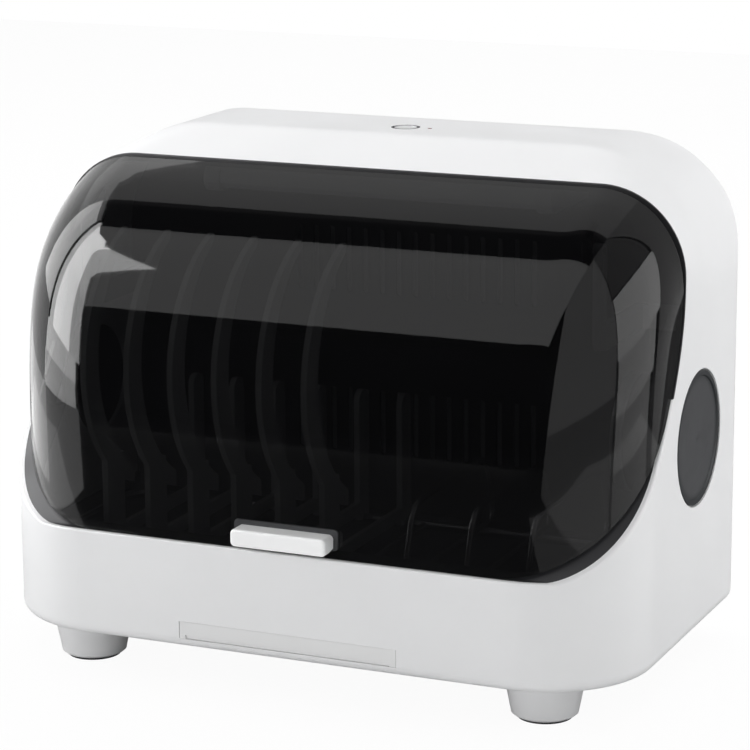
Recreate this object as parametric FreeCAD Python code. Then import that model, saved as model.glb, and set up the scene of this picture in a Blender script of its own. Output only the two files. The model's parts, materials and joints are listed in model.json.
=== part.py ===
import FreeCAD, Part
import math
import os

# Countertop dish storage cabinet. Millimetres, +Z up, front towards -Y.
# The origin is on the table, under the middle of the cabinet.

# Overall size
width = 430.0
depth = 242.0
height = 331.0
foot_height = 25.0

# Outer shell
wall = 3.0
hood_corner_radius = 83.7
front_corner_radius = 70.0
rear_corner_radius = 18.0
bottom_edge_radius = 8.0
top_rear_edge_radius = 12.0
crease_radius = 25.0
crease_from_rear = 79.0
lip_from_rear = 123.6
lip_drop = 16.3
lip_corner_radius = 54.0
crease_steps = 4
sweep_top_below_lip = 59.7
sweep_top_pull = 76.0
sweep_front_pull = 5.0
rim_height = 94.4
rim_setback = 7.0
rim_edge_radius = 1.5
bottom_flange = 8.0

# Clearances
seat_gap = 0.3
cover_gap = 3.5
pin_clearance = 0.05
fit_clearance = 0.02

# Smoked cover
cover_wall = 2.5
cover_setback = 2.5
cover_skirt = 9.4
cover_top_pull = 110.0
cover_top_slope = 0.33
cover_front_pull = 125.0
cover_front_slope = 0.04
cover_corner_top = 54.0
cover_corner_front = 88.0

# Black frame under the cover's edge
frame_ledge = 9.0
frame_edge = 1.6
frame_lip = 1.4
frame_depth = 14.0
frame_change_height = 150.0
rebate_low = 190.0

# Cover hinge
hinge_ahead_of_lip = 39.4
hinge_below_lip = 32.7
hinge_from_side = 47.0
lug_thickness = 5.0
lug_radius = 7.5
arm_thickness = 6.0
arm_width = 15.0
arm_eye_radius = 4.5
arm_drop = 62.0
arm_leg_length = 82.0
arm_flange_length = 20.0
arm_flange_wall = 4.0
arm_heel_bend = 8.0
arm_inner_bend = 12.0
hinge_screw_length = 6.0
hinge_screw_edge = 4.0
hinge_screw_inset = 7.5
hinge_pin_radius = 2.5
bush_wall = 1.5

# Handle
handle_length = 64.0
handle_thickness = 11.0
handle_projection = 11.0
handle_height = 104.5
handle_plate_margin = 3.0
handle_plate_thickness = 1.6
handle_screw_pitch = 40.0
handle_screw_length = 9.0
handle_screw_rise = 1.0
handle_screw_space = 4.2
handle_corner = 3.0
handle_edge = 2.0

# Side discs
disc_radius = 42.8
disc_from_rear = 90.0
disc_height = 153.0
disc_thickness = 2.7
disc_groove = 1.0
disc_seat_width = 6.0

# Fan and heater behind the right disc
duct_radius = 36.0
duct_wall = 2.0
duct_length = 32.0
fan_radius = 33.0
fan_hub_radius = 11.0
fan_blade_count = 7
fan_depth = 12.0
fan_spacing = 1.0
blade_thickness = 1.2
blade_angle = 32.0
motor_radius = 10.0
motor_length = 10.0
motor_inset = 4.0
motor_cup_wall = 2.0
motor_cup_depth = 5.0
spoke_width = 3.0
spoke_thickness = 2.5
shaft_radius = 1.5
heater_length = 8.0
heater_fin_count = 9

# Feet
foot_from_side = 59.0
foot_from_front = 38.6
foot_from_rear = 34.0
foot_top_radius = 25.0
foot_low_radius = 20.5
foot_wall = 2.5
foot_chamfer = 1.2
foot_pad_thickness = 3.0
foot_pad_radius = 17.0
foot_post_radius = 6.0

# Underside, floor and tray
pan_thickness = 3.0
floor_height = 66.0
floor_thickness = 2.5
drain_hole_radius = 3.0
support_x = 112.0
support_radius = 5.0
tray_width = 147.0
tray_height = 11.0
tray_depth = 150.0
tray_wall = 1.6
tray_travel = 110.0
runner_width = 5.0
runner_height = 6.0

# Rack
rail_radius = 3.0
rail_from_front = 51.0
rail_from_rear = 69.0
rack_from_side = 19.0
rack_bend = 16.0
divider_count = 6
divider_pitch = 30.6
divider_from_side = 67.4
divider_thickness = 4.0
fin_radius = 89.0
fin_centre_height = 190.0
fin_centre_back = 56.5
fin_tip = 0.9
fin_belly = 16.0
fin_lift = 2.8
fin_tip_back = 28.5
rear_fin_top = 150.0
cup_hoop_count = 3
cup_hoop_pitch = 40.0
cup_last_from_side = 71.0
cup_hoop_height = 46.0
cup_wire_radius = 2.0
cup_hoop_bend = 12.0

# Back wall, wiring space and lamp
liner_from_rear = 36.0
liner_thickness = 2.0
slot_width = 4.0
slot_length = 44.0
liner_slot_low = 105.0
liner_slot_drop = 116.0
liner_slot_pitch = 12.0
liner_slot_count = 15
panel_from_side = 31.0
panel_above_base = 19.0
panel_below_top = 31.0
panel_corner = 18.0
panel_lap = 9.0
panel_recess = 2.2
louvre_low = 146.0
louvre_pitch = 5.0
louvre_count = 12
louvre_x = 92.0
louvre_length = 100.0
louvre_width = 3.0
case_boss_radius = 3.6
case_boss_depth = 6.0
lamp_radius = 7.0
lamp_from_side = 97.0
lamp_from_rear = 95.0
lamp_drop = 33.0
inlet_width = 26.0
inlet_height = 18.0
inlet_from_side = 95.0
inlet_z = 54.0

# Button on the top
button_radius = 7.4
button_from_rear = 51.0
button_travel = 1.5
button_height = 6.0
button_gap = 0.3
bezel_width = 1.8
board_drop = 14.0
board_thickness = 1.6
board_half_width = 44.0
board_ahead_of_button = 18.0
board_cover_margin = 6.0
board_cover_ahead = 3.0
board_cover_drop = 5.0
board_cover_wall = 1.8
indicator_x = 17.0
indicator_radius = 1.5

# Screws
screw_head_radius = 3.4
screw_head_height = 1.4
screw_radius = 1.5

# Places worked out from the sizes above
half_width = width / 2
front_y = -(depth - handle_projection) / 2
rear_y = front_y + depth
base_z = foot_height
crease_y = rear_y - crease_from_rear
lip_y = rear_y - lip_from_rear
lip_z = height - lip_drop
bevel_slope = math.atan2(lip_drop, crease_y - lip_y)
sweep_top_height = lip_z - sweep_top_below_lip
hinge_height = lip_z - hinge_below_lip
hinge_x = half_width - hinge_from_side
rim_y = front_y + rim_setback
cover_front_y = front_y + cover_setback
hinge_y = lip_y - hinge_ahead_of_lip
disc_y = rear_y - disc_from_rear
pan_bottom = base_z + wall
pan_top = pan_bottom + pan_thickness
liner_y = rear_y - liner_from_rear
button_y = rear_y - button_from_rear
rail_front_y = front_y + rail_from_front
rail_rear_y = rear_y - rail_from_rear
rail_z = floor_height + rail_radius + seat_gap
rack_half_length = half_width - rack_from_side
divider_first_x = divider_from_side - half_width
cup_first_x = half_width - cup_last_from_side - (cup_hoop_count - 1) * cup_hoop_pitch
lamp_y = rear_y - lamp_from_rear
lamp_z = height - lamp_drop
lamp_half_length = half_width - lamp_from_side
liner_slot_high = height - liner_slot_drop
board_z = height - wall - board_drop - board_thickness
tray_z = pan_top + 1.5 * seat_gap
panel_half_width = half_width - panel_from_side
panel_bottom = base_z + panel_above_base
panel_top = height - panel_below_top
inlet_x = half_width - inlet_from_side
screw_x = panel_half_width + panel_lap / 2
case_screw_places = [(side * screw_x, z) for side in (-1, 1)
                     for z in (panel_bottom + 20.0, (panel_bottom + panel_top) / 2, panel_top - 55.0)]
foot_x = half_width - foot_from_side
foot_places = [(side * foot_x, y) for side in (-1, 1)
               for y in (front_y + foot_from_front, rear_y - foot_from_rear)]
board_post_places = [(x, y) for x in (-38.0, 38.0) for y in (button_y - 14.0, button_y + 3.5)]
arm_x = hinge_x + lug_thickness / 2 + 0.5
arm_low = hinge_height - arm_drop
arm_end_y = hinge_y - arm_eye_radius + arm_leg_length
hinge_screw_y = arm_end_y - arm_flange_length + hinge_screw_inset
hinge_screw_places = [(hinge_screw_y, arm_low + hinge_screw_edge),
                      (hinge_screw_y, arm_low + arm_width - hinge_screw_edge)]
hinge_screw_reach = hinge_screw_length - arm_flange_wall + 0.2
inner_x = half_width - wall
bore_radius = hinge_pin_radius + pin_clearance
bush_radius = hinge_pin_radius + bush_wall
far = width


def point(y, z, x=0.0):
    return FreeCAD.Vector(x, y, z)


def block(x0, x1, y0, y1, z0, z1):
    return Part.makeBox(x1 - x0, y1 - y0, z1 - z0, FreeCAD.Vector(x0, y0, z0))


def cylinder_x(radius, x0, x1, y, z):
    return Part.makeCylinder(radius, x1 - x0, FreeCAD.Vector(x0, y, z), FreeCAD.Vector(1, 0, 0))


def cylinder_y(radius, x, y0, y1, z):
    return Part.makeCylinder(radius, y1 - y0, FreeCAD.Vector(x, y0, z), FreeCAD.Vector(0, 1, 0))


def cylinder_z(radius, x, y, z0, z1):
    return Part.makeCylinder(radius, z1 - z0, FreeCAD.Vector(x, y, z0))


def mirrored(shape):
    return shape.mirror(FreeCAD.Vector(0, 0, 0), FreeCAD.Vector(1, 0, 0))


def fuse(shapes):
    whole = shapes[0]
    if len(shapes) > 1:
        whole = whole.multiFuse(shapes[1:])
    return whole.removeSplitter()


def is_straight_along(edge, axis):
    a, b = edge.Vertexes[0].Point, edge.Vertexes[-1].Point
    run = b - a
    return run.Length > 0 and abs(abs(run.dot(axis)) - run.Length) < 1e-6


def round_edges(shape, radius, axis, test):
    """Rounds the straight edges along axis whose middle passes the test."""
    picked = []
    for edge in shape.Edges:
        if is_straight_along(edge, axis) and test(edge.CenterOfMass):
            picked.append(edge)
    return shape.makeFillet(radius, picked)


AXIS_X = FreeCAD.Vector(1, 0, 0)
AXIS_Y = FreeCAD.Vector(0, 1, 0)
AXIS_Z = FreeCAD.Vector(0, 0, 1)


def rounded_block(x0, x1, y0, y1, z0, z1, radius, axis):
    shape = block(x0, x1, y0, y1, z0, z1)
    return round_edges(shape, radius, axis, lambda c: True)


def plan_prism(inset, z0, z1):
    """The cabinet's outline from above, moved inwards by inset."""
    x = half_width - inset
    shape = block(-x, x, front_y + inset, rear_y - inset, z0, z1)
    shape = round_edges(shape, front_corner_radius - inset, AXIS_Z, lambda c: c.y < 0)
    return round_edges(shape, max(rear_corner_radius - inset, 1.0), AXIS_Z, lambda c: c.y > 0)


def front_prism(inset, bottom):
    """The cabinet's outline from the front, moved inwards by inset."""
    x = half_width - inset
    shape = block(-x, x, front_y - far, rear_y + far, bottom, height - inset)
    return round_edges(shape, hood_corner_radius - inset, AXIS_Y, lambda c: c.z > base_z + wall + 1)


def extrude_profile(edges, half_length):
    face = Part.Face(Part.Wire(edges))
    face.translate(FreeCAD.Vector(-half_length, 0, 0))
    return face.extrude(FreeCAD.Vector(2 * half_length, 0, 0))


def lines(points):
    return [Part.LineSegment(a, b).toShape() for a, b in zip(points, points[1:])]


def bezier(points):
    curve = Part.BezierCurve()
    curve.setPoles(points)
    return curve.toShape()


def sweep_curve(back, up):
    """The sweeping edge from the hood down to the rim, moved back and up."""
    return bezier([
        point(lip_y + back, sweep_top_height + up),
        point(lip_y + back, sweep_top_height - sweep_top_pull + up),
        point(rim_y + sweep_front_pull + back, rim_height + up),
        point(rim_y + back, rim_height + up),
    ])


def front_space(back, up):
    """Everything in front of and above the sweeping edge."""
    top = height + far
    edges = lines([point(front_y - far, top), point(lip_y + back, top),
                   point(lip_y + back, sweep_top_height + up)])
    edges.append(sweep_curve(back, up))
    edges += lines([point(rim_y + back, rim_height + up), point(front_y - far, rim_height + up),
                    point(front_y - far, top)])
    return extrude_profile(edges, far)


def hood_outline(y, inset, bottom):
    """A section of the hood from the front. Its corners tighten as the bevel drops towards the lip."""
    turn = crease_radius * math.tan(bevel_slope / 2)
    run = crease_y + turn - y
    angle = min(math.asin(min(run / crease_radius, 1.0)), bevel_slope)
    drop = crease_radius * (1 - math.cos(angle))
    straight = run - crease_radius * math.sin(angle)
    drop += straight * math.tan(bevel_slope)
    radius = hood_corner_radius - (hood_corner_radius - lip_corner_radius) * drop / lip_drop - inset
    place = y + inset * math.sin(angle)
    top = height - drop - inset * math.cos(angle)
    x = half_width - inset
    low_left = FreeCAD.Vector(-x, place, bottom)
    left = FreeCAD.Vector(-x, place, top - radius)
    top_left = FreeCAD.Vector(radius - x, place, top)
    top_right = FreeCAD.Vector(x - radius, place, top)
    right = FreeCAD.Vector(x, place, top - radius)
    low_right = FreeCAD.Vector(x, place, bottom)
    bend = radius * (1 - math.sqrt(0.5))
    left_arc = Part.Arc(left, FreeCAD.Vector(bend - x, place, top - bend), top_left)
    right_arc = Part.Arc(top_right, FreeCAD.Vector(x - bend, place, top - bend), right)
    edges = lines([low_left, left]) + [left_arc.toShape()]
    edges += lines([top_left, top_right]) + [right_arc.toShape()]
    edges += lines([right, low_right, low_left])
    return Part.Wire(edges)


def hood_hull(inset, bottom):
    """The hood's arch, with the bevelled front that wraps round its corners, moved inwards by inset."""
    turn = crease_radius * math.tan(bevel_slope / 2)
    start = crease_y + turn
    steps = [start - crease_radius * math.sin(bevel_slope * i / crease_steps)
             for i in range(crease_steps + 1)]
    steps.append(lip_y - far / 20)
    sections = [hood_outline(y, inset, bottom) for y in steps]
    bevel = Part.makeLoft(sections, True, True)
    arch = Part.Face(sections[0]).extrude(FreeCAD.Vector(0, far, 0))
    nose = Part.Face(sections[-1]).extrude(FreeCAD.Vector(0, -far, 0))
    return fuse([arch, bevel, nose])


def hood_side(inset):
    """The hood from the side: a flat top with its rear edge rounded, moved inwards by inset."""
    shape = block(-far, far, -far, rear_y - inset, -far, height - inset)
    return round_edges(shape, max(top_rear_edge_radius - inset, 1.0), AXIS_X,
                       lambda c: c.z > 0 and c.y > rear_y - inset - 1)


def cover_side(inset):
    """The cover's bulging outline, with its corners rounded more towards the front."""
    top = point(lip_y, lip_z - inset / math.cos(cover_top_slope))
    low = point(cover_front_y + inset, rim_height - cover_skirt)
    pull_top = point(top.y - cover_top_pull * math.cos(cover_top_slope),
                     top.z - cover_top_pull * math.sin(cover_top_slope))
    pull_low = point(low.y + cover_front_pull * math.sin(cover_front_slope),
                     low.z + cover_front_pull * math.cos(cover_front_slope))
    edges = [bezier([top, pull_top, pull_low, low])]
    edges += lines([low, point(top.y, low.z), top])
    shape = extrude_profile(edges, half_width - inset)
    curved = [e for e in shape.Edges if not isinstance(e.Curve, Part.Line)]
    for edge in curved:
        first = edge.valueAt(edge.FirstParameter)
        r_first = cover_corner_top - inset
        r_last = cover_corner_front - inset
        if first.z < lip_z / 2:
            r_first, r_last = r_last, r_first
    return shape.makeFillet(r_first, r_last, curved)


def casing_block(inset):
    """The solid block that the shell is hollowed from, moved inwards by inset."""
    shape = plan_prism(inset, base_z + inset, height + 1)
    shape = shape.common(hood_hull(inset, base_z - far))
    return shape.common(hood_side(inset))


def hood_rebate():
    """The space along the hood's edge that the black frame's outer lip fills."""
    edge = front_space(frame_edge, -frame_edge).cut(front_space(0, 0))
    return edge.cut(block(-far, far, -far, far, -far, rebate_low))


def rounded_rim(shape):
    """Rounds the outer edge of the opening below the black frame's outer lip."""
    opening = front_space(0, 0)
    rim = []
    for edge in shape.Edges:
        middle = edge.valueAt((edge.FirstParameter + edge.LastParameter) / 2)
        inside = abs(middle.x) < 1 and middle.y > front_y + 1
        high_enough = base_z + bottom_edge_radius + 1 < middle.z < rebate_low
        if high_enough and not inside and opening.distToShape(Part.Vertex(middle))[0] < 1e-3:
            rim.append(edge)
    return shape.makeFillet(rim_edge_radius, rim)


def make_casing():
    shape = casing_block(0)
    low = [e for e in shape.Edges if abs(e.BoundBox.ZMax - base_z) < 1e-3]
    shape = shape.makeFillet(bottom_edge_radius, low)
    shape = rounded_rim(shape.cut(front_space(0, 0)).cut(hood_rebate()))
    hollow = casing_block(wall)
    low = [e for e in hollow.Edges if abs(e.BoundBox.ZMax - base_z - wall) < 1e-3]
    hollow = hollow.makeFillet(bottom_edge_radius - wall, low)
    shape = shape.cut(hollow)
    bottom_hole = plan_prism(bottom_edge_radius + bottom_flange, base_z - 1, base_z + wall + 1)
    shape = shape.cut(bottom_hole)
    back_hole = rounded_block(-panel_half_width, panel_half_width, rear_y - wall - 1, rear_y + 1,
                              panel_bottom, panel_top, panel_corner, AXIS_Y)
    shape = shape.cut(back_hole)
    lap = panel_lap
    back_recess = rounded_block(-panel_half_width - lap, panel_half_width + lap,
                                rear_y - panel_recess, rear_y + 1, panel_bottom - lap,
                                panel_top + lap, panel_corner + lap, AXIS_Y)
    for x, z in case_screw_places:
        shape = shape.fuse(cylinder_y(case_boss_radius, x, rear_y - wall - case_boss_depth,
                                      rear_y - wall, z))
        back_recess = back_recess.fuse(cylinder_y(screw_radius + fit_clearance, x,
                                                  rear_y - wall - case_boss_depth + 1, rear_y, z))
    shape = shape.cut(back_recess)
    tray_hole = block(-tray_width / 2 - seat_gap, tray_width / 2 + seat_gap, front_y - 1,
                      front_y + wall + 1, pan_top + seat_gap, pan_top + 2 * seat_gap + tray_height)
    shape = shape.cut(tray_hole)
    for side in (-1, 1):
        seat = cylinder_x(disc_radius + disc_seat_width, inner_x - wall, inner_x, disc_y, disc_height)
        window = cylinder_x(disc_radius - disc_seat_width, inner_x - wall - 1, half_width, disc_y, disc_height)
        recess = cylinder_x(disc_radius + disc_groove, inner_x, half_width + 1, disc_y, disc_height)
        if side < 0:
            seat, window, recess = mirrored(seat), mirrored(window), mirrored(recess)
        shape = shape.fuse(seat).cut(window).cut(recess)
    top_hole = cylinder_z(button_radius + button_gap + bezel_width + fit_clearance, 0, button_y,
                          height - wall - 1, height + 1)
    lens_hole = cylinder_z(indicator_radius + fit_clearance, indicator_x, button_y,
                           height - wall - 1, height + 1)
    shape = shape.cut(top_hole).cut(lens_hole)
    for x, y in board_post_places:
        shape = shape.fuse(cylinder_z(3.0, x, y, board_z + board_thickness, height - wall / 2))
    for y, z in hinge_screw_places:
        shape = shape.cut(cylinder_x(screw_radius + fit_clearance, inner_x - 1,
                                     inner_x + hinge_screw_reach, y, z))
        shape = shape.cut(cylinder_x(screw_radius + fit_clearance, -inner_x - hinge_screw_reach,
                                     1 - inner_x, y, z))
    return shape


def make_opening_frame():
    """The black band that the cover closes against, following the sweeping edge."""
    outer = casing_block(wall + fit_clearance)
    ledge = outer.cut(casing_block(wall + frame_ledge))
    lip = outer.cut(casing_block(wall + frame_lip))
    split = block(-far, far, -far, far, -far, frame_change_height)
    ring = ledge.common(split).fuse(lip.cut(split))
    band = front_space(frame_depth, -frame_depth).cut(front_space(0, 0))
    seats = cylinder_x(disc_radius + disc_seat_width + seat_gap, -far, far, disc_y, disc_height)
    edge = casing_block(0).cut(outer).common(hood_rebate())
    return ring.common(band).fuse(edge).cut(seats)


def make_cover(handle_holes):
    shape = cover_side(0).cut(cover_side(cover_wall))
    for hole in handle_holes:
        shape = shape.cut(hole)
    shape = shape.common(front_space(-cover_gap, seat_gap))
    for side in (-1, 1):
        x = side * hinge_x
        lug = cylinder_x(lug_radius, x - lug_thickness / 2, x + lug_thickness / 2, hinge_y, hinge_height)
        web = block(x - lug_thickness / 2, x + lug_thickness / 2, hinge_y - lug_radius,
                    hinge_y + lug_radius, hinge_height, lip_z)
        lug = lug.fuse(web).common(cover_side(cover_wall / 2))
        shape = shape.fuse(lug)
        shape = shape.cut(cylinder_x(bush_radius + fit_clearance, x - lug_thickness,
                                     x + lug_thickness, hinge_y, hinge_height))
    return shape


def screw(x, y, z, direction, length):
    """A pan-head screw whose head stands on the point, with its thread along direction."""
    place = FreeCAD.Vector(x, y, z)
    head = Part.makeCylinder(screw_head_radius, screw_head_height, place, direction * -1)
    rims = [e for e in head.Edges if len(e.Vertexes) == 1]
    outer_rim = min(rims, key=lambda e: e.CenterOfMass.dot(direction))
    head = head.makeChamfer(screw_head_height * 0.5, [outer_rim])
    return head.fuse(Part.makeCylinder(screw_radius, length, place, direction))


def make_handle_pieces():
    """The bar, its dark plate and the two screws that hold them through the cover."""
    z = handle_height
    face_y = cover_front_y + 0.2
    skin = cover_side(-handle_plate_thickness).cut(cover_side(0))
    half = handle_length / 2
    tall = handle_thickness / 2
    margin = handle_plate_margin
    plate = skin.common(rounded_block(-half - margin, half + margin, front_y - 40, front_y + 40,
                                      z - tall + 1.0, z + tall + margin, 2.5, AXIS_Y))
    bar = rounded_block(-half, half, front_y - handle_projection, cover_front_y + 5,
                        z - tall, z + tall, handle_corner, AXIS_Y)
    outer = [e for e in bar.Edges if e.BoundBox.YMax < front_y - handle_projection + 0.1]
    bar = bar.makeFillet(handle_edge, outer)
    groove = cylinder_x(handle_thickness, -half - 1, half + 1, front_y + handle_thickness - 8.0,
                        z - tall - handle_thickness + 2.6)
    bar = bar.cut(groove)
    bar = bar.cut(cover_side(-handle_plate_thickness))
    bar = max(bar.Solids, key=lambda s: s.Volume)
    inner_y = face_y + cover_wall + 1.0
    screws = []
    holes = []
    for x in (-handle_screw_pitch / 2, handle_screw_pitch / 2):
        screw_z = z + handle_screw_rise
        screws.append(screw(x, inner_y, screw_z, AXIS_Y * -1, handle_screw_length))
        hole_end = inner_y - handle_screw_length - handle_screw_space
        holes.append(cylinder_y(screw_radius + fit_clearance, x, hole_end, inner_y + 3, screw_z))
    cutter = Part.makeCompound(holes)
    return bar.cut(cutter), plate.cut(cutter), Part.makeCompound(screws), holes


def make_hinge_arm():
    """The right arm: a hooked plate from the side wall to the cover's axis, with a foot on the wall."""
    x0 = arm_x
    x1 = x0 + arm_thickness
    half = arm_eye_radius
    low = arm_low
    post = block(x0, x1, hinge_y - half, hinge_y + half, low, hinge_height)
    eye = cylinder_x(half, x0, x1, hinge_y, hinge_height)
    leg = block(x0, x1, hinge_y - half, hinge_y - half + arm_leg_length, low, low + arm_width)
    arm = fuse([post, eye, leg])
    arm = round_edges(arm, arm_heel_bend, AXIS_X, lambda c: c.y < hinge_y and c.z < low + 1)
    corner = point(hinge_y + half, low + arm_width, (x0 + x1) / 2)
    arm = round_edges(arm, arm_inner_bend, AXIS_X, lambda c: (c - corner).Length < 1)
    end_y = arm_end_y
    foot = block(x0, inner_x, end_y - arm_flange_length, end_y, low, low + arm_width)
    foot = foot.cut(block(x1, inner_x - arm_flange_wall, end_y - arm_flange_length - 1,
                          end_y - arm_flange_wall - 1.0, low - 1, low + arm_width + 1))
    arm = arm.fuse(foot).removeSplitter()
    arm = arm.cut(cylinder_x(hinge_pin_radius + fit_clearance, x0 - 1, x1 + 1, hinge_y, hinge_height))
    for y, z in hinge_screw_places:
        arm = arm.cut(cylinder_x(screw_radius + fit_clearance, inner_x - 5, inner_x + 1, y, z))
    return arm


def make_hinge_screws():
    screws = []
    for y, z in hinge_screw_places:
        right = screw(inner_x - arm_flange_wall, y, z, AXIS_X, hinge_screw_length)
        screws += [right, mirrored(right)]
    return Part.makeCompound(screws)


def make_hinge_pin():
    x0 = hinge_x - lug_thickness / 2 - 0.5
    x1 = hinge_x + lug_thickness / 2 + 0.5 + arm_thickness
    pin = cylinder_x(hinge_pin_radius, x0, x1, hinge_y, hinge_height)
    head = cylinder_x(bush_radius + 0.5, x0 - 1.5, x0, hinge_y, hinge_height)
    return pin.fuse(head)


def make_hinge_bush():
    half = lug_thickness / 2 + 0.2
    bush = cylinder_x(bush_radius, hinge_x - half, hinge_x + half, hinge_y, hinge_height)
    return bush.cut(cylinder_x(bore_radius, hinge_x - half - 1, hinge_x + half + 1, hinge_y, hinge_height))


def make_side_disc():
    """The right disc: a dished cap with a raised rim."""
    x0 = inner_x
    x1 = x0 + disc_thickness
    profile = [
        (0.0, x0), (disc_radius, x0), (disc_radius, x1 - 0.6), (disc_radius - 0.6, x1),
        (disc_radius - 3.2, x1), (disc_radius - 4.0, x1 - 0.9), (disc_radius * 0.5, x1 - 1.1),
        (0.0, x1 - 0.7), (0.0, x0),
    ]
    edges = lines([FreeCAD.Vector(x, disc_y + r, disc_height) for r, x in profile])
    face = Part.Face(Part.Wire(edges))
    return face.revolve(FreeCAD.Vector(0, disc_y, disc_height), AXIS_X, 360)


def make_fan_pieces():
    """Duct, motor on its spokes, rotor and heater, from the right wall inwards."""
    y, z = disc_y, disc_height
    outer = inner_x - wall
    inner = outer - duct_length
    duct = cylinder_x(duct_radius + duct_wall, inner, outer, y, z)
    duct = duct.cut(cylinder_x(duct_radius, inner - 1, outer + 1, y, z))
    motor_x0 = inner + motor_inset
    motor_x1 = motor_x0 + motor_length
    spokes = []
    for i in range(4):
        spoke = block(motor_x0, motor_x0 + spoke_thickness, -spoke_width / 2, spoke_width / 2,
                      motor_radius + motor_cup_wall / 2, duct_radius + duct_wall / 2)
        spoke.rotate(FreeCAD.Vector(0, 0, 0), AXIS_X, 45 + 90 * i)
        spoke.translate(FreeCAD.Vector(0, y, z))
        spokes.append(spoke)
    cup_end = motor_x0 + motor_cup_depth
    cup = cylinder_x(motor_radius + motor_cup_wall, motor_x0, cup_end, y, z)
    cup = cup.cut(cylinder_x(motor_radius + fit_clearance, motor_x0 - 1, cup_end + 1, y, z))
    duct = duct.multiFuse(spokes + [cup])
    shaft_end = motor_x1 + fan_depth + fan_spacing
    motor = cylinder_x(motor_radius, motor_x0, motor_x1, y, z)
    motor = motor.fuse(cylinder_x(shaft_radius, motor_x1, shaft_end, y, z))
    fan_x0 = motor_x1 + fan_spacing
    hub = cylinder_x(fan_hub_radius, fan_x0, fan_x0 + fan_depth - 2, y, z)
    blades = []
    for i in range(fan_blade_count):
        blade = block(fan_x0 + 2.0, fan_x0 + 2.0 + blade_thickness, -fan_hub_radius * 0.55,
                      fan_hub_radius * 0.55, fan_hub_radius - 1.5, fan_radius)
        blade = round_edges(blade, 5.0, AXIS_X, lambda c: c.z > fan_radius - 1)
        blade.rotate(FreeCAD.Vector(fan_x0 + 2.0 + blade_thickness / 2, 0, 0), AXIS_Z, blade_angle)
        blade.translate(FreeCAD.Vector(1.6, 0, 0))
        blade.rotate(FreeCAD.Vector(0, 0, 0), AXIS_X, i * 360.0 / fan_blade_count)
        blade.translate(FreeCAD.Vector(0, y, z))
        blades.append(blade)
    rotor = hub.multiFuse(blades)
    rotor = rotor.cut(cylinder_x(shaft_radius + pin_clearance, fan_x0 - 1, shaft_end + 1, y, z))
    heater_x0 = inner - heater_length
    heater = cylinder_x(duct_radius + duct_wall, heater_x0, inner, y, z)
    heater = heater.cut(cylinder_x(duct_radius, heater_x0 - 1, inner + 1, y, z))
    fins = []
    core = cylinder_x(duct_radius + 0.5, heater_x0 + 1, inner - 1, y, z)
    pitch = 2 * duct_radius / (heater_fin_count + 1)
    for i in range(heater_fin_count):
        fin_y = y - duct_radius + (i + 1) * pitch
        fins.append(block(heater_x0, inner, fin_y - 0.6, fin_y + 0.6, z - far, z + far))
    fins.append(block(heater_x0 + 2, inner - 2, y - far, y + far, z - 2.0, z + 2.0))
    heater = heater.fuse(Part.makeCompound(fins).common(core))
    return duct, motor, rotor, heater


def make_foot(x, y):
    """A tapered hollow foot with a recess for its soft pad."""
    top = base_z
    low = foot_pad_thickness - 1.0
    cone = Part.makeCone(foot_low_radius, foot_top_radius, top - low, FreeCAD.Vector(x, y, low))
    rim = [e for e in cone.Edges if len(e.Vertexes) == 1 and e.BoundBox.ZMax < low + 0.1]
    cone = cone.makeChamfer(foot_chamfer, rim)
    recess = cylinder_z(foot_pad_radius + fit_clearance, x, y, low - 1, foot_pad_thickness + 0.5)
    hollow = Part.makeCone(foot_low_radius - foot_wall, foot_top_radius - foot_wall,
                           top - foot_pad_thickness - 4.0, FreeCAD.Vector(x, y, foot_pad_thickness + 4.0))
    post = cylinder_z(foot_post_radius, x, y, foot_pad_thickness + 2.0, top)
    foot = cone.cut(recess).cut(hollow).fuse(post)
    foot = foot.cut(cylinder_z(screw_head_radius + seat_gap, x, y, 0, foot_pad_thickness + 2.0))
    return foot.cut(cylinder_z(screw_radius + fit_clearance, x, y, 0, top + 1))


def make_foot_pad(x, y):
    pad = cylinder_z(foot_pad_radius, x, y, 0, foot_pad_thickness + 0.5)
    return pad.cut(cylinder_z(screw_head_radius + 0.6, x, y, 1.5, foot_pad_thickness + 1))


def make_foot_screws():
    screws = []
    for x, y in foot_places:
        screws.append(screw(x, y, foot_pad_thickness + 2.0, AXIS_Z, pan_top - foot_pad_thickness - 3.0))
    return Part.makeCompound(screws)


def make_base_pan():
    """The underside plate on the casing's bottom flange, with a boss over each foot and vent slots."""
    pan = plan_prism(bottom_edge_radius + seat_gap, pan_bottom, pan_top)
    for x, y in foot_places:
        pan = pan.fuse(cylinder_z(foot_post_radius * 2, x, y, base_z, pan_bottom))
    slots = []
    for row in (-1, 1):
        for i in range(9):
            x = (i - 4) * 16.0
            y = rear_y - 60.0 + row * 22.0
            slots.append(rounded_block(x - 2.5, x + 2.5, y - 15, y + 15, base_z, pan_top + 1, 2.4, AXIS_Z))
    pan = pan.cut(Part.makeCompound(slots))
    for x, y in foot_places:
        pan = pan.cut(cylinder_z(screw_radius + fit_clearance, x, y, base_z - 1, pan_top + 1))
    return pan


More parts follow.
